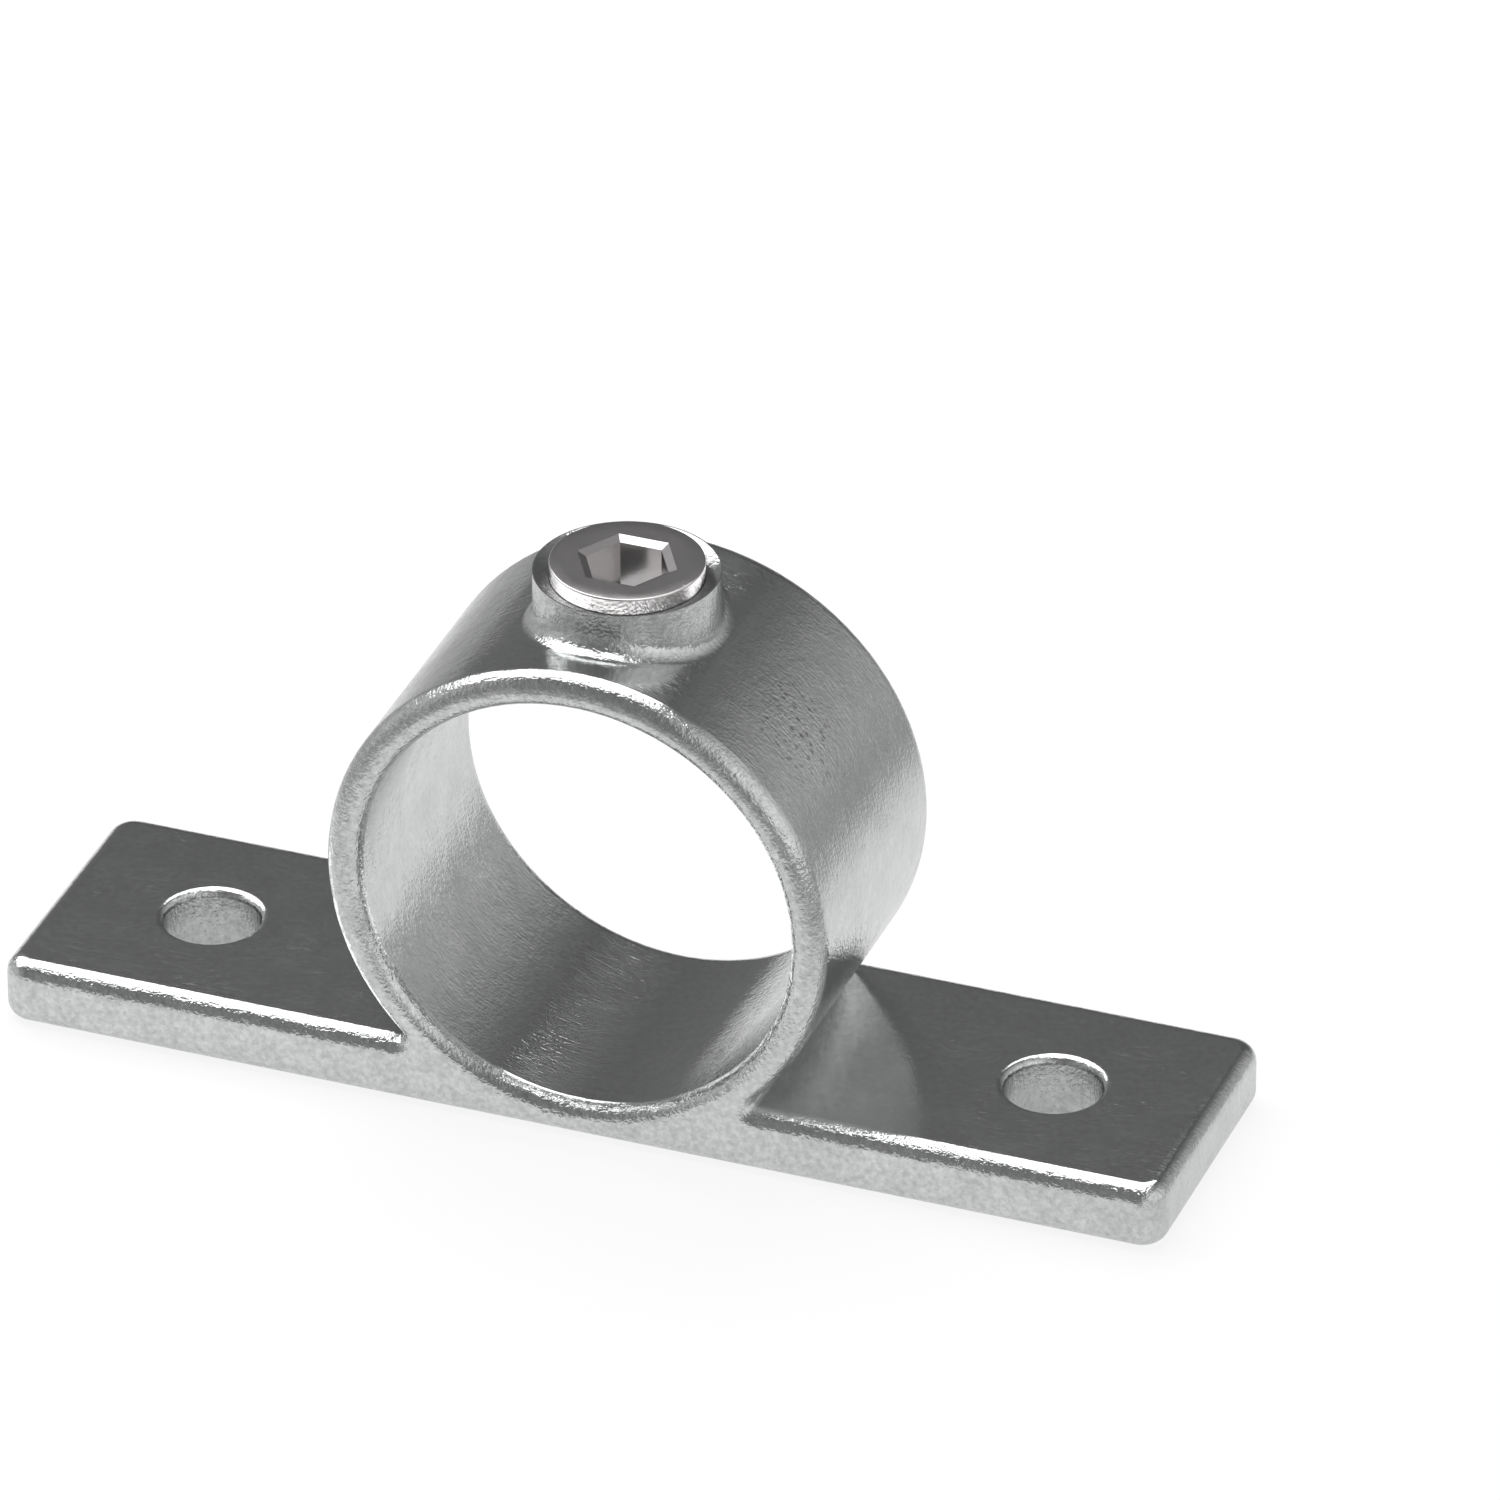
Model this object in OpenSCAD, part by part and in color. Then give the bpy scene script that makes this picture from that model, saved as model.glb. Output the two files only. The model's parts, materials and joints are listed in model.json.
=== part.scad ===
// Base fitting for round tube: a cast socket ring standing on a flat plate with two
// fixing holes, and a set screw in a boss on top that clamps the tube.
// The tube runs along Y, the plate is long in X, and the plate's underside is z = 0.
// All lengths are in millimetres.

/* [Tube and socket ring] */
// Outside diameter of the tube that the ring takes
tube_d = 48.3; // [33.7:0.1:60.3]
// Gap between the tube and the wall of the socket, all round
tube_gap = 0.25; // [0.1:0.05:0.8]
// Wall of the ring
ring_wall = 4; // [3.6:0.1:6]
// Rounding of the ring's outer rims
rim_r = 2; // [1:0.1:2.4]
// Rounding of the socket's two mouths
mouth_r = 1.9; // [0.8:0.1:2.2]

/* [Base plate] */
// Length of the plate
plate_l = 133; // [124:1:170]
// Width of the plate, and of the ring that stands on it
plate_w = 34; // [30:0.5:44]
// Thickness of the plate
plate_t = 7.5; // [6:0.1:10]
// Rounding of the plate's top and bottom edges
plate_edge_r = 2; // [0.8:0.1:2.4]
// Radius of the plate's four upright corners
plate_corner_r = 3; // [2.6:0.1:6]
// Radius of the blend in the notch between ring and plate
notch_r = 0.5; // [0.3:0.1:3]

/* [Fixing holes] */
// Diameter of each fixing hole
hole_d = 10.5; // [6.6:0.1:13]
// Distance between the two hole centres
hole_spacing = 97; // [88:0.5:108]
// Rounding of the holes' mouths, above and below
hole_mouth_r = 0.9; // [0.3:0.1:1.4]

/* [Set screw boss] */
// Height of the boss's rim above the top of the ring
boss_h = 4.4; // [3.6:0.1:8]
// Wall of the boss round the threaded hole, at its rim
boss_wall = 1.7; // [1.4:0.1:3.8]
// Radius of the blend between boss and ring
boss_blend_r = 2.6; // [1:0.1:3]
// Width of the flat land that is left outside the countersink
boss_land = 0.15; // [0.1:0.05:0.6]
// Slope of the countersink in the top of the boss, in degrees
sink_angle = 25; // [15:1:45]

/* [Set screw] */
// Outside diameter of the set screw, a 3/8 inch parallel pipe thread
screw_d = 16.66; // [14:0.01:18]
// Length of the set screw
screw_l = 9.6; // [8:0.05:16]
// Gap between the screw's tip and the tube, with the screw backed off
tip_gap = 0.15; // [0.1:0.05:1]
// Gap between the screw and the wall of its hole, all round
screw_gap = 0.07; // [0.03:0.01:0.15]
// Width across the flats of the key that turns the screw
key_af = 8; // [5:0.5:9]
// Play of the key in its socket
key_play = 0.1; // [0.05:0.05:0.3]
// Depth of the chamfer round the mouth of the hexagon socket
key_chamfer_h = 0.5; // [0.2:0.05:1]
// Width of the chamfer round the mouth of the hexagon socket
key_chamfer_w = 0.85; // [0.3:0.05:1.2]
// Chamfer on the screw's top edge
screw_top_chamfer = 0.15; // [0.1:0.05:1]
// Chamfer on the screw's tip
screw_tip_chamfer = 1; // [0.3:0.1:1.5]
// Depth of the cup in the screw's tip
cup_h = 1.4; // [0.5:0.1:2]
// Width of the edge between the cup and the chamfer of the tip
cup_edge = 0.9; // [0.5:0.1:1.2]

/* [Hidden] */
$fn = 96;

// How far a cutting shape runs past the face that it cuts
past = 1;
// Blends are cut a little too large, so that each crosses the surface that it runs out on. The one
// round the boss is made of small flats, so it needs more than the round one in the notch.
boss_overcut = 0.04;
notch_overcut = 0.004;
tube_r = tube_d / 2;
bore_r = tube_r + tube_gap;
ring_r = bore_r + ring_wall;
// The ring stands level with the underside of the plate
axis_z = ring_r;
ring_top = axis_z + ring_r;
face_y = plate_w / 2;
screw_r = screw_d / 2;
hole_wall_r = screw_r + screw_gap;
boss_r = hole_wall_r + boss_wall;
boss_top = ring_top + boss_h;
sink_r = boss_r - boss_land;
sink_h = (sink_r - hole_wall_r) * tan(sink_angle);
// Radius of the circle that the centre of the ball runs on, which rolls the blend round the boss
roll_r = boss_r + boss_blend_r;
screw_tip_z = axis_z + tube_r + tip_gap;
socket_af = key_af + key_play;
// Steps of the blend round the boss, and across it
groove_steps = 60;
groove_arc_steps = 7;

// Lays a shape that was made along Z so that its z runs along Y
module along_y() rotate([-90, 0, 0]) children();

// Half outline of a disc of radius r and height h, with its corners rounded
module rounded_half_disc(r, h, corner_r) {
    square([r - corner_r, h]);
    translate([0, corner_r]) square([r, h - 2 * corner_r]);
    for (z = [corner_r, h - corner_r])
        translate([r - corner_r, z]) circle(corner_r);
}

// Disc whose two rims are rounded, from z = 0 up. The square keeps the corner circles on one side
// of the axis when they are nearly as large as the disc.
module rounded_disc(r, h, corner_r, angle = 360)
    rotate_extrude(angle = angle) intersection() {
        rounded_half_disc(r, h, corner_r);
        square([r + past, h]);
    }

// Outline of the plate across its length, w wide, with rounded corners
module plate_outline_yz(w) {
    r = plate_edge_r;
    translate([-w / 2 + r, 0]) square([w - 2 * r, plate_t]);
    translate([-w / 2, r]) square([w, plate_t - 2 * r]);
    for (y = [-w / 2 + r, w / 2 - r], z = [r, plate_t - r])
        translate([y, z]) circle(r);
}

// Plate whose edges are rounded all round. It is a bar, two end strips and four quarter discs,
// which meet on plane faces.
module plate() {
    bar_l = plate_l - 2 * plate_corner_r;
    strip_w = plate_w - 2 * plate_corner_r;
    translate([-bar_l / 2, 0, 0])
        rotate([90, 0, 90]) linear_extrude(bar_l) plate_outline_yz(plate_w);
    for (side = [0, 180]) rotate(side) {
        translate([bar_l / 2, strip_w / 2, 0])
            rotate([90, 0, 0]) linear_extrude(strip_w)
                rounded_half_disc(plate_corner_r, plate_t, plate_edge_r);
        for (y = [-1, 1])
            translate([bar_l / 2, y * strip_w / 2, 0])
                rotate(y > 0 ? 0 : -90) rounded_disc(plate_corner_r, plate_t, plate_edge_r, 90);
    }
}

// Ring before it is bored. Its lowest part is left to the plate, whose underside it would touch.
module ring_blank() difference() {
    translate([0, -face_y, axis_z]) along_y() rounded_disc(ring_r, plate_w, rim_r);
    translate([-ring_r, -plate_w, -ring_r]) cube([2 * ring_r, 2 * plate_w, ring_r + plate_t / 2]);
}

// Blend in the notch on one side of the ring: the notch is filled, and a spool is cut out of the
// filling that touches both the ring and the plate
module notch_blend() {
    spool_z = plate_t + notch_r;
    spool_x = sqrt(pow(ring_r + notch_r, 2) - pow(axis_z - spool_z, 2));
    into_ring = (ring_r - rim_r) / (ring_r + notch_r);
    difference() {
        translate([0, face_y, 0]) rotate([90, 0, 0]) linear_extrude(plate_w) polygon([
            [spool_x, spool_z],
            [spool_x * into_ring, axis_z + (spool_z - axis_z) * into_ring],
            [ring_r / 2, plate_t / 2],
            [spool_x, plate_t / 2]
        ]);
        translate([spool_x, -face_y, spool_z]) along_y()
            mouthed_bore(notch_r + notch_overcut, plate_w, plate_edge_r);
    }
}

// Where the ball that rolls in the corner between boss and ring has its centre, at angle a
// round the boss: it touches the boss from outside, and the ring from above
function roll_centre(a) = [
    roll_r * cos(a),
    roll_r * sin(a),
    axis_z + sqrt(pow(ring_r + boss_blend_r, 2) - pow(roll_r * cos(a), 2))
];

// Direction in which the ball rolls, at angle a, and the direction square to it that points up
function roll_slope(a) = roll_r * sin(a) * cos(a) / (roll_centre(a)[2] - axis_z);
function roll_up(a) = let (s = roll_slope(a)) [s * sin(a), -s * cos(a), 1] / sqrt(1 + s * s);

// Angle in the groove's cross-section at which the ball touches the ring. It touches the boss at 180.
function touch_angle(a) = let (down = ([0, 0, axis_z] - roll_centre(a)))
    360 + atan2(down[2] * roll_up(a)[2] + down[0] * roll_up(a)[0], down[0] * cos(a));

// Outline of the groove's cross-section, outwards from the boss and upwards: down into the boss,
// round the ball's path, out into the ring, and closed clear of both
function groove_section(a, r) = let (end = touch_angle(a)) concat(
    [[-r, r]],
    [for (i = [0 : groove_arc_steps])
        let (b = 180 + i * (end - 180) / groove_arc_steps) r * [cos(b), sin(b)]],
    [r * [cos(end) - sin(end), sin(end) + cos(end)], [r, r]]
);

// Closed groove that the ball sweeps round the boss
module rolled_groove() {
    n = groove_arc_steps + 4;
    points = [for (i = [0 : groove_steps - 1])
        let (a = i * 360 / groove_steps)
        for (p = groove_section(a, boss_blend_r + boss_overcut))
            roll_centre(a) + p[0] * [cos(a), sin(a), 0] + p[1] * roll_up(a)];
    faces = [for (i = [0 : groove_steps - 1], j = [0 : n - 1])
        let (a = i * n, b = ((i + 1) % groove_steps) * n, k = (j + 1) % n)
        each [[a + j, b + k, b + j], [a + j, a + k, b + k]]];
    polyhedron(points, faces);
}

// Foot of the boss: what lies inside the ball's path, less the groove that the ball sweeps
module boss_foot() difference() {
    intersection() {
        translate([0, 0, axis_z]) cylinder(r = roll_r, h = ring_r + boss_blend_r);
        translate([0, -roll_r, axis_z]) along_y()
            cylinder(r = ring_r + boss_blend_r, h = 2 * roll_r);
    }
    rolled_groove();
}

// Boss before it is drilled
module boss_blank() {
    translate([0, 0, axis_z]) cylinder(r = boss_r, h = boss_top - axis_z);
    boss_foot();
}

// Cutter for a round hole along Z from z = 0 to z = h, with rounded mouths
module mouthed_bore(r, h, corner_r) rotate_extrude() difference() {
    mouth_edge_r = r + corner_r;
    translate([0, -past]) square([mouth_edge_r, h + 2 * past]);
    translate([mouth_edge_r, corner_r]) circle(corner_r);
    translate([mouth_edge_r, h - corner_r]) circle(corner_r);
    translate([r, corner_r]) square([corner_r + past, h - 2 * corner_r]);
}

module cast_body() color("darkgray") difference() {
    union() {
        plate();
        ring_blank();
        for (side = [0, 180]) rotate(side) notch_blend();
        boss_blank();
    }
    translate([0, -face_y, axis_z]) along_y() mouthed_bore(bore_r, plate_w, mouth_r);
    for (x = [-hole_spacing / 2, hole_spacing / 2])
        translate([x, 0, 0]) mouthed_bore(hole_d / 2, plate_t, hole_mouth_r);
    translate([0, 0, axis_z]) cylinder(r = hole_wall_r, h = boss_top - axis_z + past);
    translate([0, 0, boss_top - sink_h])
        cylinder(r1 = hole_wall_r, r2 = sink_r + past / tan(sink_angle), h = sink_h + past);
}

// Hexagonal hole with its corners on the X axis, wide across its flats
module hexagon_hole(wide, h) cylinder(d = wide / cos(30), h = h, $fn = 6);

// Hexagonal socket from z = 0 up to its chamfered mouth at z = h
module key_socket(h) {
    mouth_af = socket_af + 2 * key_chamfer_w;
    hexagon_hole(socket_af, h);
    translate([0, 0, h - key_chamfer_h])
        cylinder(d1 = socket_af / cos(30), d2 = mouth_af / cos(30), h = key_chamfer_h, $fn = 6);
}

// Hollow set screw, with the key's socket right through it and a cup in its tip
module set_screw() color("silver") translate([0, 0, screw_tip_z]) difference() {
    cup_r = screw_r - screw_tip_chamfer - cup_edge;
    rotate_extrude() polygon([
        [0, 0],
        [screw_r - screw_tip_chamfer, 0],
        [screw_r, screw_tip_chamfer],
        [screw_r, screw_l - screw_top_chamfer],
        [screw_r - screw_top_chamfer, screw_l],
        [0, screw_l]
    ]);
    key_socket(screw_l);
    cylinder(r1 = cup_r, r2 = cup_r - cup_h, h = cup_h);
}

cast_body();
set_screw();
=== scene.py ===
# %% [markdown]
# A base fitting, cast in iron and dipped in zinc
#
# The real fitting is one casting and one screw. Molten iron fills a sand mould in the shape of a ring on
# a flat foot, the rough casting is drilled and tapped, and then it hangs in a bath of molten zinc, which
# leaves a bright skin with fine ripples. A short hollow set screw goes down into the boss on top.
# The casting's form comes with the frame, so this script only smooths it and gives it its skin. The screw
# is made anew here, because a thread is too fine for the frame and too large to be faked with shading.

# %% Load the frame
import json
import math

import bpy
import numpy as np
from mathutils import Matrix, Vector


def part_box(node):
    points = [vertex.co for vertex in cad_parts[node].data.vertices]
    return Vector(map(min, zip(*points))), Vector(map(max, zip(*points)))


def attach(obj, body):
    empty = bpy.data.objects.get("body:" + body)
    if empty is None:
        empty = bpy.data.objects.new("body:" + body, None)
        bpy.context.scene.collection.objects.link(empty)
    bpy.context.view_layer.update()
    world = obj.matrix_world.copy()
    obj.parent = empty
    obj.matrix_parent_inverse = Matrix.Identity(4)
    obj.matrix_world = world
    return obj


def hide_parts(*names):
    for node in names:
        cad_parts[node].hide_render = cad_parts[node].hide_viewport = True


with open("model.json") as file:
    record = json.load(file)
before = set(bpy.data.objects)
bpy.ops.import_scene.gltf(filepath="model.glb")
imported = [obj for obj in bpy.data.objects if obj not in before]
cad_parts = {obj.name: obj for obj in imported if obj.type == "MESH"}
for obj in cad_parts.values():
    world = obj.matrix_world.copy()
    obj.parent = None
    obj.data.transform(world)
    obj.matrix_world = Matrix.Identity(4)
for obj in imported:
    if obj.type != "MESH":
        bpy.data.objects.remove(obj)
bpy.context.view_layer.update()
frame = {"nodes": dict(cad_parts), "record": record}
MM = 0.001

# %% [markdown]
# Sizes that the pieces share
#
# The frame says where everything is. The casting's box gives the plate, and the screw's box gives the
# screw's radius, tip and top. Only what a box can't tell is written down as a number of its own.

# %% Sizes from the frame
cast_low, cast_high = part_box("cast_body")
screw_low, screw_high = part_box("set_screw")
SCREW_R = screw_high.y
SCREW_TIP_Z = screw_low.z
SCREW_L = screw_high.z - screw_low.z
SOCKET = next(m for m in frame["record"]["mounts"] if m["name"] == "tube_socket")
AXIS_Z = SOCKET["pos_m"][2]
BORE_R = SOCKET["dims"]["r_mm"] * MM
print("screw radius, tip and length in mm:", *(round(v / MM, 3) for v in (SCREW_R, SCREW_TIP_Z, SCREW_L)))

# %% [markdown]
# A grid becomes a mesh
#
# The screw and the thread in the boss are grids of points that close on themselves both ways, like the
# skin of a ring. One way runs round the screw's axis, the other runs along the outline of the section.
# Such a skin has no pole and no open edge, so it is a sound solid. The faces join each point to its right
# and upper neighbours.

# %% Helper: closed grid to mesh
SMOOTH_UNDER = math.radians(29)


def mesh_from_ring_grid(name, points):
    """Mesh of a grid of points, rows by columns by three, that closes on itself in both directions.
    Face (i, j) joins the points (i, j), (i, j+1), (i+1, j+1) and (i+1, j), each index taken round the end."""
    rows, columns = points.shape[:2]
    i, j = np.meshgrid(np.arange(rows), np.arange(columns), indexing="ij")
    up, right = (i + 1) % rows, (j + 1) % columns
    quads = np.stack([i * columns + j, i * columns + right, up * columns + right, up * columns + j], -1)
    mesh = bpy.data.meshes.new(name)
    mesh.from_pydata(points.reshape(-1, 3).tolist(), [], quads.reshape(-1, 4).tolist())
    mesh.polygons.foreach_set("use_smooth", np.ones(len(mesh.polygons), bool))
    mesh.set_sharp_from_angle(angle=SMOOTH_UNDER)
    piece = bpy.data.objects.new(name, mesh)
    bpy.context.scene.collection.objects.link(piece)
    print(name, "has", rows, "rows,", columns, "columns and", 2 * rows * columns, "triangles")
    return piece


def around_z(radius, height, angle):
    """Points at a distance from the Z axis, at a height and an angle: (r cos a, r sin a, z)."""
    return np.stack([radius * np.cos(angle), radius * np.sin(angle), height + 0 * radius], -1)


# %% [markdown]
# The casting, with a smooth blend round its boss
#
# In the real casting the boss flows into the ring in one hollow curve, as if a ball had been rolled round
# its foot. The frame has that curve as small flats, cut a hair too deep, and a mirror-like metal shows
# each flat. The points are good, so only the directions that light is mirrored in need care. In this copy
# each shading normal on the blend points at the middle of the rolling ball, and it is turned a little near
# both ends of the curve, so that it leaves the boss and meets the ring without a crease.
#
# The only points that move are in four shallow dips, one at each side of the ring on the front and back
# faces. They lie where the ring's rounded rim runs into the plate's rounded edge, and the sand of a real
# mould would not keep them, so they come out to the flat face.

# %% The ball that rolls round the boss
HOLE_WALL_R = SCREW_R + 0.07 * MM
BOSS_R = HOLE_WALL_R + 1.7 * MM
RING_R = AXIS_Z
BALL_R = 2.6 * MM
CUT_R = BALL_R + 0.04 * MM
ROLL_R = BOSS_R + BALL_R


def ball_centre(angle):
    """Centre of the ball at an angle round the boss: (R cos a, R sin a, h) with R = boss + ball, where
    h = axis + sqrt((ring + ball)^2 - (R cos a)^2) keeps it on the ring."""
    x, y = ROLL_R * np.cos(angle), ROLL_R * np.sin(angle)
    return np.stack([x, y, AXIS_Z + np.sqrt((RING_R + BALL_R) ** 2 - x**2)], -1)


def ball_path(angle):
    """Direction and rate of the centre's travel: the derivative of its place by the angle."""
    x, y, z = ball_centre(angle).T
    return np.stack([-y, x, x * y / (z - AXIS_Z)], -1)


def nearest_angle(points):
    """Angle of the nearest ball, by steps of (offset . travel) / (travel . travel)."""
    angle = np.arctan2(points[:, 1], points[:, 0])
    for _ in range(6):
        travel = ball_path(angle)
        offset = points - ball_centre(angle)
        angle = angle + (offset * travel).sum(1) / (travel * travel).sum(1)
    return angle


def blend_normals(points):
    """Shading normals of points on the blend. In the ball's section, t runs from pi, where it touches the
    boss, to the angle where it touches the ring. The deeper cut starts and ends acos(ball / cut) inside that
    range, so t is stretched to fill it, and the normal is -(cos t, sin t) in that section."""
    angle = nearest_angle(points)
    travel = ball_path(angle)
    out = np.stack([np.cos(angle), np.sin(angle), 0 * angle], -1)
    up = np.cross(out, travel)
    up /= np.linalg.norm(up, axis=1, keepdims=True)
    offset = points - ball_centre(angle)
    t = np.mod(np.arctan2((offset * up).sum(1), (offset * out).sum(1)), 2 * np.pi)
    to_axis = np.array([1, 0, 1]) * (np.array([0, 0, AXIS_Z]) - ball_centre(angle))
    end = np.mod(np.arctan2((to_axis * up).sum(1), (to_axis * out).sum(1)), 2 * np.pi)
    lead = math.acos(BALL_R / CUT_R)
    t = np.clip(np.pi + (t - np.pi - lead) * (end - np.pi) / (end - np.pi - 2 * lead), np.pi, end)
    return -(np.cos(t)[:, None] * out + np.sin(t)[:, None] * up)


# %% The dips at the foot of the ring
FLAT_R = RING_R - 2 * MM
PLATE_FLAT_TOP = 5.5 * MM
NOTCH_FOOT = (14.2 * MM, 3.75 * MM)
NOTCH_HEAD = (18.70 * MM, 9.77 * MM)
FACE_BAND = 1 * MM
CLOSE = 0.01 * MM


def fill_dips(points):
    """Points with those in a dip moved out to the front or back face. A dip is bounded by the ring's flat
    face, by the plate's flat face below, and by the straight side of the filling of the notch."""
    x, z = np.abs(points[:, 0]), points[:, 2]
    past_ring = np.hypot(x, z - AXIS_Z) > FLAT_R
    side_x = np.interp(z, (NOTCH_FOOT[1], NOTCH_HEAD[1]), (NOTCH_FOOT[0], NOTCH_HEAD[0]))
    in_dip = past_ring & (z > PLATE_FLAT_TOP - CLOSE) & (z < NOTCH_HEAD[1]) & (x < side_x + CLOSE)
    near_face = np.abs(points[:, 1]) > cast_high.y - FACE_BAND
    filled = points.copy()
    moved = in_dip & near_face
    filled[moved, 1] = np.sign(points[moved, 1]) * cast_high.y
    print("points moved out of the dips:", moved.sum())
    return filled


# %% Make the casting's copy
ON_CUT = 0.03 * MM
MERGE_UNDER = 0.001 * MM


def numbers(items, field, width, kind=float):
    """A field of a Blender collection, as an array of rows."""
    values = np.zeros(len(items) * width, kind)
    items.foreach_get(field, values)
    return values.reshape(-1, width)


def smooth_casting():
    """Copy of the casting with its dips filled, its doubled points merged and its normals set: those of the
    rolling ball on the blend, and those of the plane itself on the front and back faces."""
    mesh = frame["nodes"]["cast_body"].data
    points = fill_dips(numbers(mesh.vertices, "co", 3))
    normals = numbers(mesh.corner_normals, "vector", 3)
    corners = numbers(mesh.loops, "vertex_index", 1, np.int32)[:, 0]
    offset = np.linalg.norm(points - ball_centre(nearest_angle(points)), axis=1)
    on_cut = (np.abs(offset - CUT_R) < ON_CUT)[corners].reshape(-1, 3).all(1)
    chosen = np.repeat(on_cut, 3)
    normals[chosen] = blend_normals(points[corners[chosen]])
    sides = points[corners, 1].reshape(-1, 3)
    on_face = np.repeat((np.abs(np.abs(sides) - cast_high.y) < MERGE_UNDER).all(1), 3)
    normals[on_face] = np.sign(points[corners[on_face], 1])[:, None] * np.array([0, 1, 0])

    steps = np.round(points / MERGE_UNDER)
    _, first, merged = np.unique(steps, axis=0, return_index=True, return_inverse=True)
    faces = merged.reshape(-1)[corners].reshape(-1, 3)
    whole = (faces != np.roll(faces, 1, axis=1)).all(1)
    copy = bpy.data.meshes.new("galvanised_casting")
    copy.from_pydata(points[first].tolist(), [], faces[whole].tolist())
    copy.polygons.foreach_set("use_smooth", np.ones(len(copy.polygons), bool))
    copy.normals_split_custom_set(normals.reshape(-1, 3, 3)[whole].reshape(-1, 3).tolist())
    piece = bpy.data.objects.new("galvanised_casting", copy)
    bpy.context.scene.collection.objects.link(piece)
    print("the casting has", whole.sum(), "triangles, of which", on_cut.sum(), "on the blend")
    return piece


casting = smooth_casting()
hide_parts("cast_body")
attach(casting, "fitting")

# %% [markdown]
# The form of the thread
#
# Pipe threads have flanks that stand at 55 degrees to each other, with rounded crests and roots. A wave
# with rounded peaks comes from the arc sine of a sine: with the sine at full strength it is a pure
# zigzag, and with a little less its peaks are round. At the real pitch and depth, the flanks of this wave
# stand at about 68 degrees, a little more open than real ones. A helix is the same wave, whose start moves
# along the axis by one pitch in each turn. Screw and hole read the same function, so they always mesh.

# %% The thread as a function of angle and height
THREAD_PITCH = 1.337 * MM
THREAD_DEPTH = 0.856 * MM
PEAK_SHARPNESS = 0.97


def thread_depth(angle, z):
    """How deep the thread is cut at an angle and a height: from 0 on its crest to 1 in its root.
    Depth = 1/2 + asin(k sin t) / (2 asin k), where t = 2 pi z / pitch - angle and k is just under 1."""
    turn = 2 * np.pi * z / THREAD_PITCH - angle
    wave = np.arcsin(PEAK_SHARPNESS * np.sin(turn)) / np.arcsin(PEAK_SHARPNESS)
    return 0.5 + wave / 2


def rise(value, start, end):
    """Smooth step from 0 at start to 1 at end: 3 t^2 - 2 t^3, with t clipped to the range 0 to 1."""
    t = np.clip((value - start) / (end - start), 0, 1)
    return t * t * (3 - 2 * t)


# %% [markdown]
# The set screw
#
# The real screw is turned from bar, threaded, and broached right through for a hexagon key, then plated.
# It could be a cylinder with cuts, but boolean cuts leave poor edges round a thread. As a grid, its skin
# is one walk along the section: up the threaded outside, over the rounded top edge, across the top, down
# the chamfer and the hexagon, and out again through the cup in its tip. Each row of the grid is one
# station of that walk, and its radius may depend on the angle, as a hexagon's does.

# %% The screw's stations
COLUMNS = 240
ROWS_PER_PITCH = 24
COLLAR_L = 2.1 * MM
FADE_L = THREAD_PITCH / 2
TOP_EDGE_R = 0.15 * MM
TIP_CHAMFER = 1.0 * MM
CUP_DEPTH = 1.4 * MM
CUP_R = SCREW_R - TIP_CHAMFER - 0.9 * MM
KEY_FLATS = 8.1 * MM
MOUTH_FLATS = KEY_FLATS + 2 * 0.85 * MM
MOUTH_DEPTH = 0.5 * MM
column_angle = np.arange(COLUMNS) * 2 * np.pi / COLUMNS


def hexagon_radius(flats, angle):
    """Distance from the axis to a hexagon that is flats wide, with corners at 0, 60, 120 degrees and so on:
    half the width over the cosine of the angle to the nearest flat's middle."""
    to_middle = np.mod(angle, np.pi / 3) - np.pi / 6
    return flats / 2 / np.cos(to_middle)


def outside_rows():
    """Threaded side: the radius less the thread's depth, which fades out under the collar, and no more than
    the chamfer of the tip allows."""
    side_l = SCREW_L - TOP_EDGE_R
    count = round(side_l / THREAD_PITCH * ROWS_PER_PITCH)
    z = np.linspace(0, side_l, count)[:, None]
    thread_end = SCREW_L - COLLAR_L
    fade = 1 - rise(z, thread_end - FADE_L, thread_end)
    cut = THREAD_DEPTH * fade * thread_depth(column_angle, SCREW_TIP_Z + z)
    chamfered = SCREW_R - np.clip(TIP_CHAMFER - z, 0, None)
    return np.minimum(SCREW_R - cut, chamfered), z + 0 * column_angle


def top_edge_rows():
    """Quarter circle over the top edge, from the side to the top face."""
    turn = np.linspace(0, np.pi / 2, 7)[1:, None] + 0 * column_angle
    return (SCREW_R - TOP_EDGE_R * (1 - np.cos(turn)), SCREW_L - TOP_EDGE_R * (1 - np.sin(turn)))


def ring_row(radius, height):
    """One row: a radius, which may change with the angle, at one height above the tip."""
    shape = np.zeros((1, COLUMNS))
    return shape + radius, shape + height


def inside_rows():
    """Top face, chamfered mouth, hexagon and cup, from the top edge inwards and down to the tip's land."""
    mouth = hexagon_radius(MOUTH_FLATS, column_angle)
    hexagon = hexagon_radius(KEY_FLATS, column_angle)
    edge = SCREW_R - TOP_EDGE_R
    return [
        ring_row((edge + mouth) / 2, SCREW_L),
        ring_row(mouth, SCREW_L),
        ring_row(hexagon, SCREW_L - MOUTH_DEPTH),
        ring_row(hexagon, (SCREW_L + CUP_DEPTH) / 2),
        ring_row(hexagon, CUP_DEPTH),
        ring_row(CUP_R - CUP_DEPTH, CUP_DEPTH),
        ring_row(CUP_R, 0),
    ]


# %% Make the set screw
stations = [outside_rows(), top_edge_rows(), *inside_rows()]
station_r = np.concatenate([r for r, _ in stations])
station_z = np.concatenate([z for _, z in stations])
screw_points = around_z(station_r, SCREW_TIP_Z + station_z, column_angle)
screw = mesh_from_ring_grid("threaded_set_screw", screw_points)
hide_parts("set_screw")
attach(screw, "screw")

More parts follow.
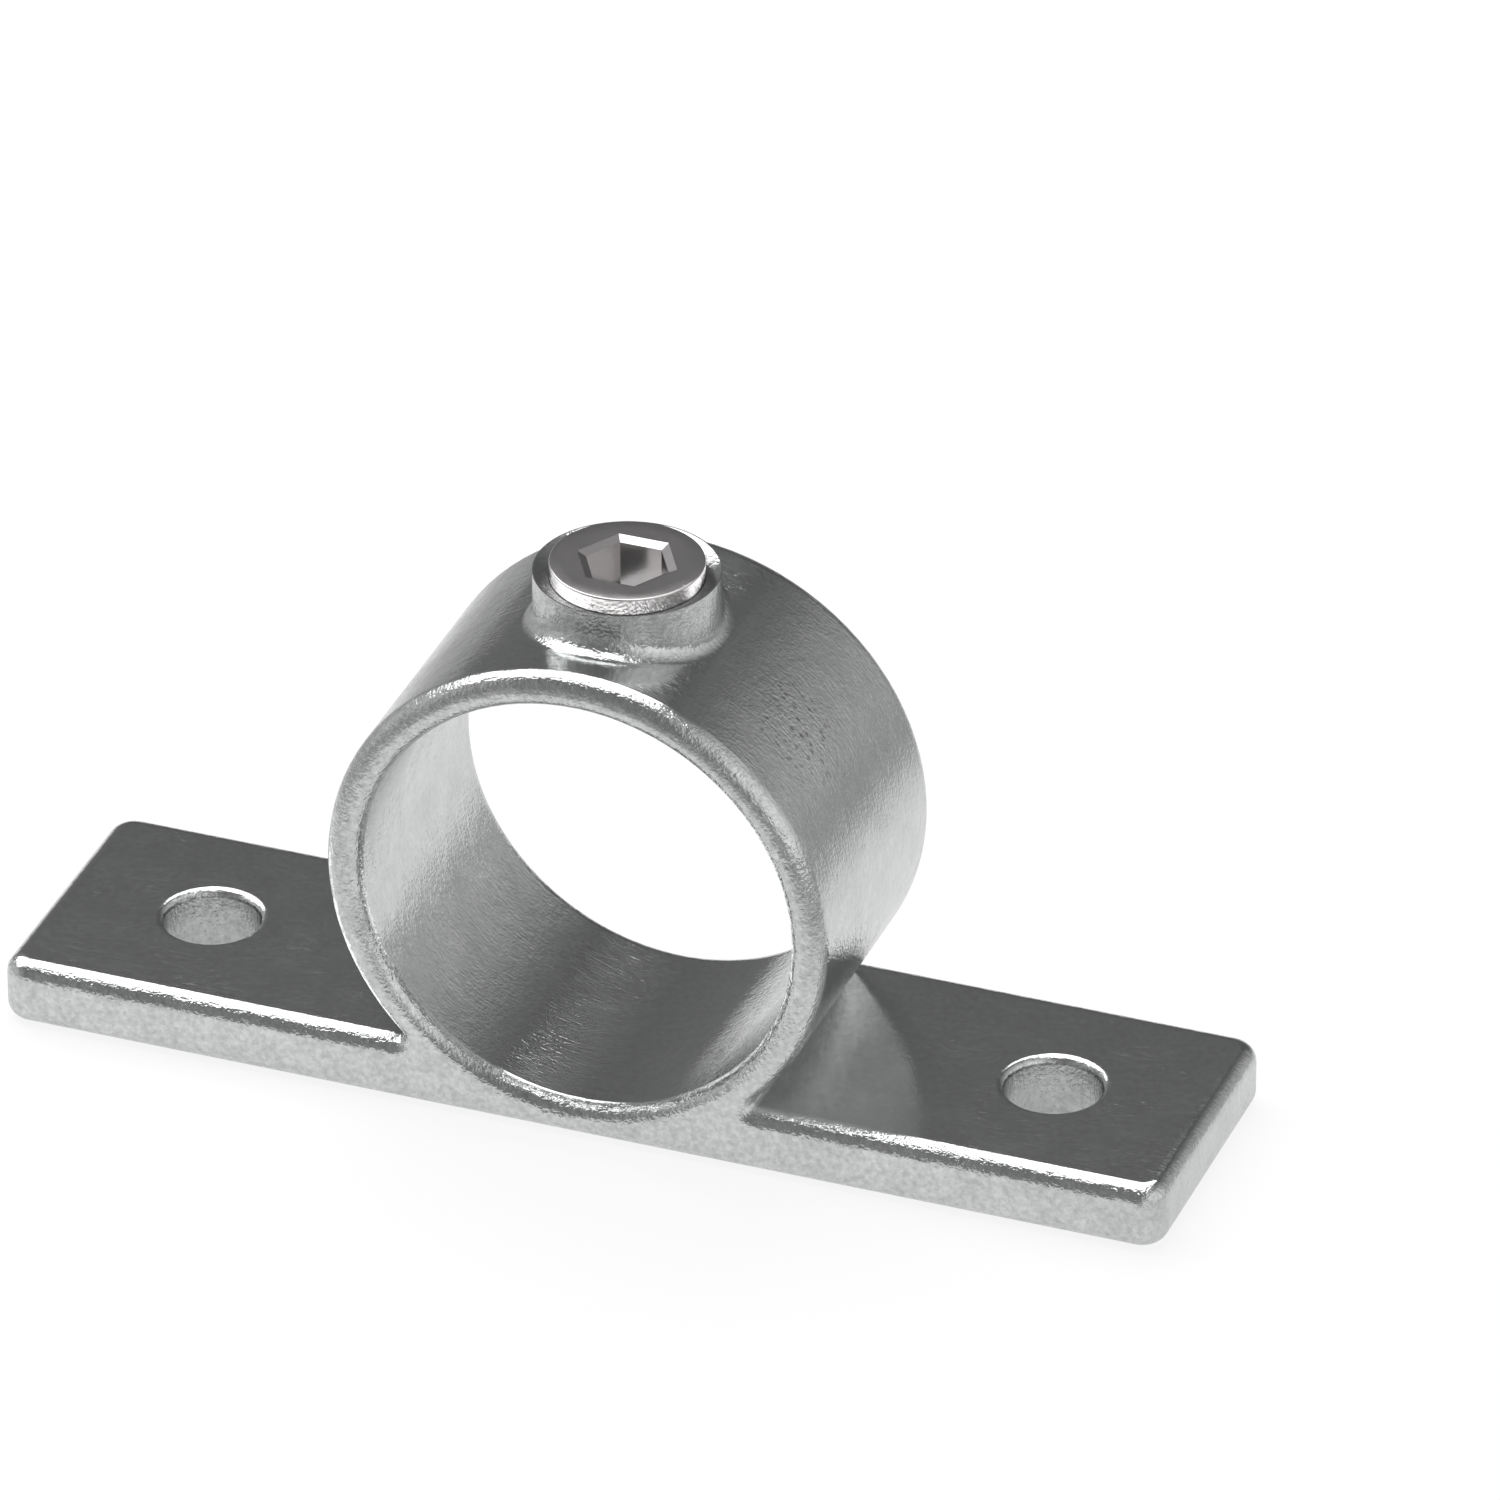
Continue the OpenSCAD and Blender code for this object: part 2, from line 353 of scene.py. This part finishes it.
# %% [markdown]
# The thread in the boss
#
# The hole in the casting is plain in the frame. Its thread is a thin lining that hugs the wall: its inner
# side carries the same wave as the screw, a little further out, and its back lies just inside the iron.
# The screw's thread fades out under its collar over half a pitch, and the screw can go down by a whole
# one, so the lining starts that far below the collar and the two never meet. It ends where the hole breaks
# into the socket, whose wall is a cylinder across it, so its lower end follows that curve.

# %% Make the thread in the boss
LINING_BACK_R = HOLE_WALL_R + 0.05 * MM
LINING_FACE_R = HOLE_WALL_R - 0.01 * MM
LINING_CLEAR = 0.02 * MM
LINING_TOP_Z = SCREW_TIP_Z + SCREW_L - COLLAR_L - FADE_L - THREAD_PITCH - LINING_CLEAR
LINING_ROWS = 130
RUN_IN = 0.35 * MM


def lining_points():
    """Inner side from the bottom up, then the back from the top down. The bottom follows the socket's wall:
    z = axis + sqrt(bore^2 - (r cos a)^2). The wave fades out towards both ends."""
    across = LINING_BACK_R * np.cos(column_angle)
    bottom = AXIS_Z + np.sqrt(BORE_R**2 - across**2) + RUN_IN
    share = np.linspace(0, 1, LINING_ROWS)[:, None]
    z = bottom + share * (LINING_TOP_Z - bottom)
    fade = rise(z, bottom, bottom + RUN_IN) * (1 - rise(z, LINING_TOP_Z - RUN_IN, LINING_TOP_Z))
    face = LINING_FACE_R - THREAD_DEPTH * fade * thread_depth(column_angle, z)
    back_z = z[::-1][:: LINING_ROWS - 1]
    radius = np.concatenate([face, LINING_BACK_R + 0 * back_z])
    return around_z(radius, np.concatenate([z, back_z]), column_angle)[:, ::-1]


boss_thread = mesh_from_ring_grid("boss_thread", lining_points())
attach(boss_thread, "fitting")

# %% [markdown]
# Tools for building materials
#
# A material is a graph of nodes. Small helpers keep that graph readable in text: one puts a node in place
# and fills its inputs, some do arithmetic with values, places and colours, and the last two start a node
# group with named inputs and outputs and place it in a material.

# %% Helpers: nodes, arithmetic and groups
def put(tree, kind, inputs=None, **settings):
    """Adds a node, with its settings, and fills its inputs by name or number with values or links."""
    made = tree.nodes.new(kind)
    for key, value in settings.items():
        setattr(made, key, value)
    for key, value in (inputs or {}).items():
        if isinstance(value, bpy.types.NodeSocket):
            tree.links.new(value, made.inputs[key])
        else:
            made.inputs[key].default_value = value
    return made


def calc(tree, operation, *values, clamp=False):
    """Result of a Math node: the operation on its values or links."""
    inputs = dict(enumerate(values))
    return put(tree, "ShaderNodeMath", inputs, operation=operation, use_clamp=clamp).outputs[0]


def change_over(tree, value, span, levels, curve="LINEAR"):
    """Value that goes from the first of two levels to the second while the given value crosses the span."""
    inputs = dict(enumerate([value, *span, *levels]))
    return put(tree, "ShaderNodeMapRange", inputs, interpolation_type=curve).outputs[0]


def distance_between(tree, first, second):
    """Distance between two places."""
    return put(tree, "ShaderNodeVectorMath", {0: first, 1: second}, operation="DISTANCE").outputs["Value"]


def scale_colour(tree, colour, factor):
    """Colour times a factor."""
    return put(tree, "ShaderNodeVectorMath", {0: colour, "Scale": factor}, operation="SCALE").outputs[0]


def blend_colour(tree, share, first, second):
    """Colour between two colours or links: first where share is 0, second where it is 1."""
    inputs = {"Factor": share, 6: first, 7: second}
    return put(tree, "ShaderNodeMix", inputs, data_type="RGBA", clamp_factor=True).outputs[2]


def new_group(name, inputs, outputs):
    """Node group with float or vector sockets: inputs as (name, kind, value), outputs as names."""
    group = bpy.data.node_groups.new(name, "ShaderNodeTree")
    for label, kind, value in inputs:
        socket = group.interface.new_socket(label, in_out="INPUT", socket_type="NodeSocket" + kind)
        if value is not None:
            socket.default_value = value
    for label in outputs:
        group.interface.new_socket(label, in_out="OUTPUT", socket_type="NodeSocketFloat")
    print("node group", name, "takes", [label for label, _, _ in inputs], "and gives", outputs)
    return group, group.nodes.new("NodeGroupInput").outputs, group.nodes.new("NodeGroupOutput").inputs


def use_group(tree, group, inputs):
    """Places a node group in a material and returns its outputs."""
    return put(tree, "ShaderNodeGroup", inputs, node_tree=group).outputs


# %% [markdown]
# Effect: a rippled skin
#
# Zinc runs off a casting as it cools, and leaves fine ripples over the grain of the sand mould. In a
# mirror-like metal these show as broken, jagged reflections. Two layers of noise make the height: long
# ripples, which lie along the plate and round the ring and so are short along Y, and a fine round grain.
# Heights are real heights in metres, so the bump has the slope that the true surface would have.

# %% Node group: rippled skin
def rippled_skin_group():
    """Height = ripple height x noise(x / length, y / width, z / length) + grain height x noise(p / size)."""
    group, given, result = new_group(
        "rippled_skin",
        [
            ("Vector", "Vector", None),
            ("Ripple Length", "Float", 1 * MM),
            ("Ripple Width", "Float", 0.5 * MM),
            ("Ripple Height", "Float", 0.02 * MM),
            ("Grain Size", "Float", 0.3 * MM),
            ("Grain Height", "Float", 0.01 * MM),
        ],
        ["Height"],
    )
    along = calc(group, "DIVIDE", 1.0, given["Ripple Length"])
    across = calc(group, "DIVIDE", 1.0, given["Ripple Width"])
    stretch = put(group, "ShaderNodeCombineXYZ", {0: along, 1: across, 2: along}).outputs[0]
    vector = put(group, "ShaderNodeVectorMath", {0: given["Vector"], 1: stretch}, operation="MULTIPLY")
    ripple = put(
        group,
        "ShaderNodeTexNoise",
        {"Vector": vector.outputs[0], "Scale": 1.0, "Detail": 2.0, "Roughness": 0.55, "Distortion": 0.6},
    )
    fineness = calc(group, "DIVIDE", 1.0, given["Grain Size"])
    grain = put(
        group,
        "ShaderNodeTexNoise",
        {"Vector": given["Vector"], "Scale": fineness, "Detail": 2.0, "Roughness": 0.5},
    )
    ripple_h = calc(group, "MULTIPLY", ripple.outputs[0], given["Ripple Height"])
    grain_h = calc(group, "MULTIPLY", grain.outputs[0], given["Grain Height"])
    group.links.new(calc(group, "ADD", ripple_h, grain_h), result["Height"])
    return group


rippled_skin = rippled_skin_group()

# %% [markdown]
# Effect: clouded tone
#
# No metal surface is evenly bright. Soft clouds of slightly duller metal, a few millimetres wide, with
# smaller ones inside them, drive both the colour and the roughness of each finish.

# %% Node group: clouded tone
def clouded_tone_group():
    """Mask from 0 to 1: noise of the given cloud size, stretched about its middle by the contrast."""
    group, given, result = new_group(
        "clouded_tone",
        [("Vector", "Vector", None), ("Cloud Size", "Float", 5 * MM), ("Contrast", "Float", 2.0)],
        ["Mask"],
    )
    scale = calc(group, "DIVIDE", 1.0, given["Cloud Size"])
    clouds = put(
        group,
        "ShaderNodeTexNoise",
        {"Vector": given["Vector"], "Scale": scale, "Detail": 4.0, "Roughness": 0.65},
    )
    centred = calc(group, "SUBTRACT", clouds.outputs[0], 0.5)
    spread = calc(group, "MULTIPLY", centred, given["Contrast"])
    group.links.new(calc(group, "ADD", spread, 0.5, clamp=True), result["Mask"])
    return group


clouded_tone = clouded_tone_group()

# %% [markdown]
# Effect: scattered marks
#
# Small round marks stand here and there: pits where the sand left a hollow in the casting, bright flecks
# of zinc, and nicks in the plating of the screw. A cell pattern gives each cell one point and one random
# number. A mark shows only in the cells whose number is below the share, so the marks stay irregular.

# %% Node group: scattered marks
def scattered_marks_group():
    """Mask = 1 at a cell's point, falling to 0 at the mark's radius, in that share of all cells."""
    group, given, result = new_group(
        "scattered_marks",
        [
            ("Vector", "Vector", None),
            ("Spacing", "Float", 4 * MM),
            ("Mark Radius", "Float", 0.2 * MM),
            ("Share", "Float", 0.2),
        ],
        ["Mask"],
    )
    scale = calc(group, "DIVIDE", 1.0, given["Spacing"])
    cells = put(group, "ShaderNodeTexVoronoi", {"Vector": given["Vector"], "Scale": scale})
    distance = calc(group, "MULTIPLY", cells.outputs["Distance"], given["Spacing"])
    depth = calc(group, "SUBTRACT", 1.0, calc(group, "DIVIDE", distance, given["Mark Radius"]), clamp=True)
    chance = put(group, "ShaderNodeSeparateColor", {0: cells.outputs["Color"]}).outputs[0]
    chosen = calc(group, "LESS_THAN", chance, given["Share"])
    group.links.new(calc(group, "MULTIPLY", depth, chosen), result["Mask"])
    return group


scattered_marks = scattered_marks_group()

# %% [markdown]
# Finish: hot-dip galvanised iron
#
# Zinc is a metal, so nearly all of its look is what it mirrors: the pale floor in its upright faces, the
# dark of the room in its flat tops, and the lamp in its rounded edges. The base colour is a light grey
# with a fine speckle of the zinc, made stronger on the front and back faces as a painted mottle of
# reflections. Roughness follows the clouds.
#
# The skin's ripples bend the mirror image. Zinc runs smooth on level tops, so there the skin is nearly
# calm, and it is roughest on the rims and upright faces of the front and back. A rough patch with a
# cluster of pits lies on the right side of the ring, and a few pits and bright flecks are scattered over
# the rest.

# %% Material: galvanised iron
PIT_PLACE = Vector((21.3, -3.5, 47.3)) * MM
PIT_REACH = 8 * MM
LEVEL_FACING = (0.82, 0.94)
LEVEL_SKIN = 0.20
RIM_FACING = (0.10, 0.32)
RIM_SKIN = 1.7
# Speckle strength: the zinc's own speckle, plus a painted mottle of reflections on front and back faces.
SPECKLE_AND_PAINTED_MOTTLE = 0.34


def new_material(name):
    """Empty material with an output, and its tree and the object's own coordinates."""
    material = bpy.data.materials.new(name)
    material.use_nodes = True
    tree = material.node_tree
    tree.nodes.clear()
    place = put(tree, "ShaderNodeTexCoord").outputs["Object"]
    return material, tree, place


def finish_metal(tree, colour, roughness, height):
    """Metal shader with a bumped surface, joined to the material's output."""
    bump = put(tree, "ShaderNodeBump", {"Strength": 1.0, "Distance": 1.0, "Height": height})
    inputs = {"Base Color": colour, "Roughness": roughness, "Metallic": 1.0, "Normal": bump.outputs[0]}
    shader = put(tree, "ShaderNodeBsdfPrincipled", inputs)
    put(tree, "ShaderNodeOutputMaterial", {"Surface": shader.outputs[0]})


def galvanised_iron():
    material, tree, place = new_material("galvanised_iron")
    skin = use_group(
        tree,
        rippled_skin,
        {
            "Vector": place,
            "Ripple Length": 1.6 * MM,
            "Ripple Width": 0.36 * MM,
            "Ripple Height": 0.055 * MM,
            "Grain Size": 0.36 * MM,
            "Grain Height": 0.055 * MM,
        },
    )["Height"]
    patches = use_group(tree, clouded_tone, {"Vector": place, "Cloud Size": 7 * MM, "Contrast": 2.5})["Mask"]
    unevenness = calc(tree, "MULTIPLY_ADD", patches, 0.8, 0.5)
    from_pits = distance_between(tree, place, PIT_PLACE)
    nearness = change_over(tree, from_pits, (0.3 * PIT_REACH, PIT_REACH), (1.0, 0.0))
    unevenness = calc(tree, "ADD", nearness, unevenness)
    normal = put(tree, "ShaderNodeNewGeometry").outputs["Normal"]
    facing = put(tree, "ShaderNodeSeparateXYZ", {0: normal}).outputs
    facing_y = calc(tree, "ABSOLUTE", facing[1])
    level = change_over(tree, facing[2], LEVEL_FACING, (1.0, LEVEL_SKIN), "SMOOTHSTEP")
    rim = change_over(tree, facing_y, RIM_FACING, (0.0, RIM_SKIN), "SMOOTHSTEP")
    unevenness = calc(tree, "MULTIPLY", unevenness, calc(tree, "MAXIMUM", level, rim))
    skin = calc(tree, "MULTIPLY", skin, unevenness)
    tone = use_group(tree, clouded_tone, {"Vector": place, "Cloud Size": 4 * MM, "Contrast": 2.2})["Mask"]
    few_pits = {"Vector": place, "Spacing": 3 * MM, "Mark Radius": 0.25 * MM, "Share": 0.04}
    pits = use_group(tree, scattered_marks, few_pits)["Mask"]
    dense_pits = {"Vector": place, "Spacing": 1.0 * MM, "Mark Radius": 0.42 * MM, "Share": 0.6}
    cluster = use_group(tree, scattered_marks, dense_pits)["Mask"]
    pits = calc(tree, "MAXIMUM", pits, calc(tree, "MULTIPLY", cluster, nearness))
    few_flecks = {"Vector": place, "Spacing": 6 * MM, "Mark Radius": 0.3 * MM, "Share": 0.06}
    flecks = use_group(tree, scattered_marks, few_flecks)["Mask"]

    colour = blend_colour(tree, tone, (0.57, 0.58, 0.58, 1), (0.66, 0.67, 0.665, 1))
    # Fine speckle in the colour: the part on every face is the zinc's own, and the part that grows with
    # |normal y| is a painted mottle of reflections on the front and back faces.
    fine = use_group(tree, clouded_tone, {"Vector": place, "Cloud Size": 0.7 * MM, "Contrast": 3.0})["Mask"]
    fine = calc(tree, "SUBTRACT", fine, 0.5)
    strength = calc(tree, "MULTIPLY_ADD", facing_y, 0.7 * SPECKLE_AND_PAINTED_MOTTLE, 0.3 * SPECKLE_AND_PAINTED_MOTTLE)
    speckle_and_painted_mottle = calc(tree, "MULTIPLY_ADD", fine, strength, 1.0)
    colour = scale_colour(tree, colour, speckle_and_painted_mottle)
    colour = blend_colour(tree, pits, colour, (0.24, 0.24, 0.23, 1))
    colour = blend_colour(tree, flecks, colour, (0.85, 0.86, 0.86, 1))
    dullness = calc(tree, "MULTIPLY_ADD", tone, -0.05, 0.15)
    roughness = calc(tree, "MULTIPLY_ADD", pits, 0.3, dullness)
    dents = calc(tree, "MULTIPLY", pits, -0.09 * MM)
    beads = calc(tree, "MULTIPLY", flecks, 0.05 * MM)
    height = calc(tree, "ADD", skin, calc(tree, "ADD", dents, beads))
    finish_metal(tree, colour, roughness, height)
    return material


iron = galvanised_iron()

# %% [markdown]
# Finish: zinc plated steel
#
# The screw is turned and plated. Its coat is thin and follows the steel, so it is smoother than the
# casting and a touch warmer. Turning leaves rings so fine that they only soften the mirror image.

# %% Material: plated steel
def plated_steel():
    material, tree, place = new_material("plated_steel")
    skin = use_group(
        tree,
        rippled_skin,
        {
            "Vector": place,
            "Ripple Length": 3 * MM,
            "Ripple Width": 3 * MM,
            "Ripple Height": 0.01 * MM,
            "Grain Size": 0.2 * MM,
            "Grain Height": 0.0012 * MM,
        },
    )["Height"]
    tone = use_group(tree, clouded_tone, {"Vector": place, "Cloud Size": 3 * MM, "Contrast": 1.6})["Mask"]
    few_nicks = {"Vector": place, "Spacing": 2.5 * MM, "Mark Radius": 0.12 * MM, "Share": 0.1}
    nicks = use_group(tree, scattered_marks, few_nicks)["Mask"]
    colour = blend_colour(tree, tone, (0.60, 0.58, 0.58, 1), (0.69, 0.67, 0.67, 1))
    colour = blend_colour(tree, nicks, colour, (0.4, 0.39, 0.39, 1))
    roughness = calc(tree, "MULTIPLY_ADD", tone, -0.04, 0.18)
    height = calc(tree, "ADD", skin, calc(tree, "MULTIPLY", nicks, -0.02 * MM))
    finish_metal(tree, colour, roughness, height)
    return material


steel = plated_steel()

# %% Put the finishes on
screw.data.materials.append(steel)
boss_thread.data.materials.append(iron)
casting.data.materials.append(iron)
for finish in (iron, steel):
    print("finish", finish.name, "has", len(finish.node_tree.nodes), "nodes")

# %% [markdown]
# Floor
#
# The fitting stands on a pale studio floor. To the camera the floor is white, with the object's soft
# shadow left in it: most of its light is its own, and the rest is what reaches it. Mirrored in the metal
# it is bright near the fitting and dimmer further off, as the floor under a single large lamp is. It is
# also a little dimmer where it shows inside the fixing holes. It lies a hair below the plate, because two
# faces in one plane make streaks when the fitting is seen from below.

# %% Make the floor
FLOOR_HALF = 2.0
FLOOR_Z = -0.02 * MM
OWN_LIGHT = 0.85
BRIGHT_PLACE = (-0.01, 0.03, 0)
GLOW_SPAN = (0.065, 0.18)
GLOW_LEVELS = (0.88, 0.28)
HOLE_X = 48.5 * MM
HOLE_EDGE = (5.0 * MM, 6.5 * MM)
HOLE_SHADE = 0.68


def studio_floor():
    """Square plane. Its shader shows its own light where the camera or a mirror sees it, plain white where
    light falls on it, and nothing from below."""
    mesh = bpy.data.meshes.new("studio_floor")
    signs = [(-1, -1), (1, -1), (1, 1), (-1, 1)]
    mesh.from_pydata([(x * FLOOR_HALF, y * FLOOR_HALF, FLOOR_Z) for x, y in signs], [], [(0, 1, 2, 3)])
    floor = bpy.data.objects.new("studio_floor", mesh)
    bpy.context.scene.collection.objects.link(floor)
    material, tree, place = new_material("studio_floor")
    path = put(tree, "ShaderNodeLightPath").outputs
    mirrored = calc(tree, "MAXIMUM", path["Is Glossy Ray"], path["Is Transmission Ray"])
    seen = calc(tree, "MAXIMUM", path["Is Camera Ray"], mirrored)
    away = distance_between(tree, place, BRIGHT_PLACE)
    glow = change_over(tree, away, GLOW_SPAN, GLOW_LEVELS, "SMOOTHSTEP")
    either_side = put(tree, "ShaderNodeVectorMath", {0: place}, operation="ABSOLUTE").outputs[0]
    from_hole = distance_between(tree, either_side, (HOLE_X, 0, 0))
    glow = calc(tree, "MULTIPLY", glow, change_over(tree, from_hole, HOLE_EDGE, (HOLE_SHADE, 1.0)))
    strength = put(tree, "ShaderNodeMix", {0: mirrored, 2: 1.0, 3: glow}).outputs[0]
    own = put(tree, "ShaderNodeEmission", {"Color": (1, 1, 1, 1), "Strength": strength}).outputs[0]
    lit = put(tree, "ShaderNodeBsdfDiffuse", {"Color": (1, 1, 1, 1)}).outputs[0]
    share = calc(tree, "MULTIPLY", seen, OWN_LIGHT)
    face = put(tree, "ShaderNodeMixShader", {0: share, 1: lit, 2: own}).outputs[0]
    below = put(tree, "ShaderNodeNewGeometry").outputs["Backfacing"]
    clear = put(tree, "ShaderNodeBsdfTransparent").outputs[0]
    both = put(tree, "ShaderNodeMixShader", {0: below, 1: face, 2: clear}).outputs[0]
    put(tree, "ShaderNodeOutputMaterial", {"Surface": both})
    mesh.materials.append(material)
    print("the floor is", 2 * FLOOR_HALF, "m wide")


studio_floor()

# %% [markdown]
# Light
#
# Shiny metal shows the room. Here the room is a dome whose level changes from left to right: it is dark in
# the middle, and so overhead too, and lighter at both sides. All of it is lighter at the front than at the
# back. One wide soft lamp hangs above the fitting and behind it. Flat tops mirror the dark of the dome, and
# the rounded front edges catch the lamp as a thin bright line. The camera itself sees white where the dome
# would be.

# %% Make the dome and the lamp
DOME = [
    (-1.00, 0.46),
    (-0.80, 0.32),
    (-0.60, 0.18),
    (-0.38, 0.142),
    (-0.20, 0.14),
    (0.10, 0.12),
    (0.31, 0.22),
    (0.53, 0.42),
    (0.75, 0.58),
    (0.90, 0.65),
    (1.00, 0.70),
]
DOME_DEPTH = (1.4, -0.5)
LAMP_HEIGHT = 1.0
LAMP_X = (-1.7, 0.2)
LAMP_Y = (-0.25, 1.06)
LAMP_RADIANCE = 2.8


def studio_dome():
    """World whose level depends on the direction looked in: the ramp of its X, which is -1 at the left and
    1 at the right, times a + b y, which is larger towards the front."""
    world = bpy.data.worlds.new("studio_dome")
    world.use_nodes = True
    tree = world.node_tree
    tree.nodes.clear()
    direction = put(tree, "ShaderNodeTexCoord").outputs["Generated"]
    toward = put(tree, "ShaderNodeSeparateXYZ", {0: direction}).outputs
    ramp = put(tree, "ShaderNodeValToRGB", {0: calc(tree, "MULTIPLY_ADD", toward[0], 0.5, 0.5)})
    stops = ramp.color_ramp.elements
    while len(stops) < len(DOME):
        stops.new(0.5)
    for stop, (x, level) in zip(stops, DOME):
        stop.position = 0.5 + 0.5 * x
        stop.color = (level, level, level, 1)
    depth = calc(tree, "MULTIPLY_ADD", toward[1], DOME_DEPTH[1], DOME_DEPTH[0])
    room = scale_colour(tree, ramp.outputs[0], depth)
    seen = put(tree, "ShaderNodeLightPath").outputs["Is Camera Ray"]
    colour = blend_colour(tree, seen, room, (1, 1, 1, 1))
    background = put(tree, "ShaderNodeBackground", {"Color": colour, "Strength": 1.0})
    put(tree, "ShaderNodeOutputWorld", {"Surface": background.outputs[0]})
    bpy.context.scene.world = world
    print("the dome has", len(stops), "levels from left to right")


def soft_lamp(name, x, y, height, radiance):
    """Rectangular lamp that faces down. Its power is radiance x area x pi."""
    data = bpy.data.lights.new(name, "AREA")
    data.shape = "RECTANGLE"
    data.size, data.size_y = x[1] - x[0], y[1] - y[0]
    data.energy = radiance * data.size * data.size_y * math.pi
    lamp = bpy.data.objects.new(name, data)
    lamp.location = ((x[0] + x[1]) / 2, (y[0] + y[1]) / 2, height)
    lamp.visible_camera = False
    bpy.context.scene.collection.objects.link(lamp)
    print(name, "gives", round(data.energy, 1), "W")


studio_dome()
soft_lamp("overhead_lamp", LAMP_X, LAMP_Y, LAMP_HEIGHT, LAMP_RADIANCE)

# %% [markdown]
# Camera
#
# The picture was taken with a long lens from the front right, looking down at about 31 degrees. The
# camera's place and turn were worked out from straight edges and circles of the fitting.

# %% Make the camera
CAMERA_PLACE = (0.48428, -1.26012, 0.85190)
CAMERA_TURN = 20.47
CAMERA_DIP = -31.06
CAMERA_ROLL = 0.07
LENS = 354.76

camera_data = bpy.data.cameras.new("photo_camera")
camera_data.lens = LENS
camera_data.sensor_width = 36
camera_data.clip_start, camera_data.clip_end = 0.1, 20
camera = bpy.data.objects.new("photo_camera", camera_data)
turn = Matrix.Rotation(math.radians(CAMERA_TURN), 4, "Z")
dip = Matrix.Rotation(math.radians(90 + CAMERA_DIP), 4, "X")
roll = Matrix.Rotation(math.radians(CAMERA_ROLL), 4, "Z")
camera.matrix_world = Matrix.Translation(CAMERA_PLACE) @ turn @ dip @ roll
bpy.context.scene.collection.objects.link(camera)
bpy.context.scene.camera = camera
bpy.context.scene.view_settings.view_transform = "Standard"
print("the camera stands", round(camera.location.length, 3), "m from the middle of the plate")
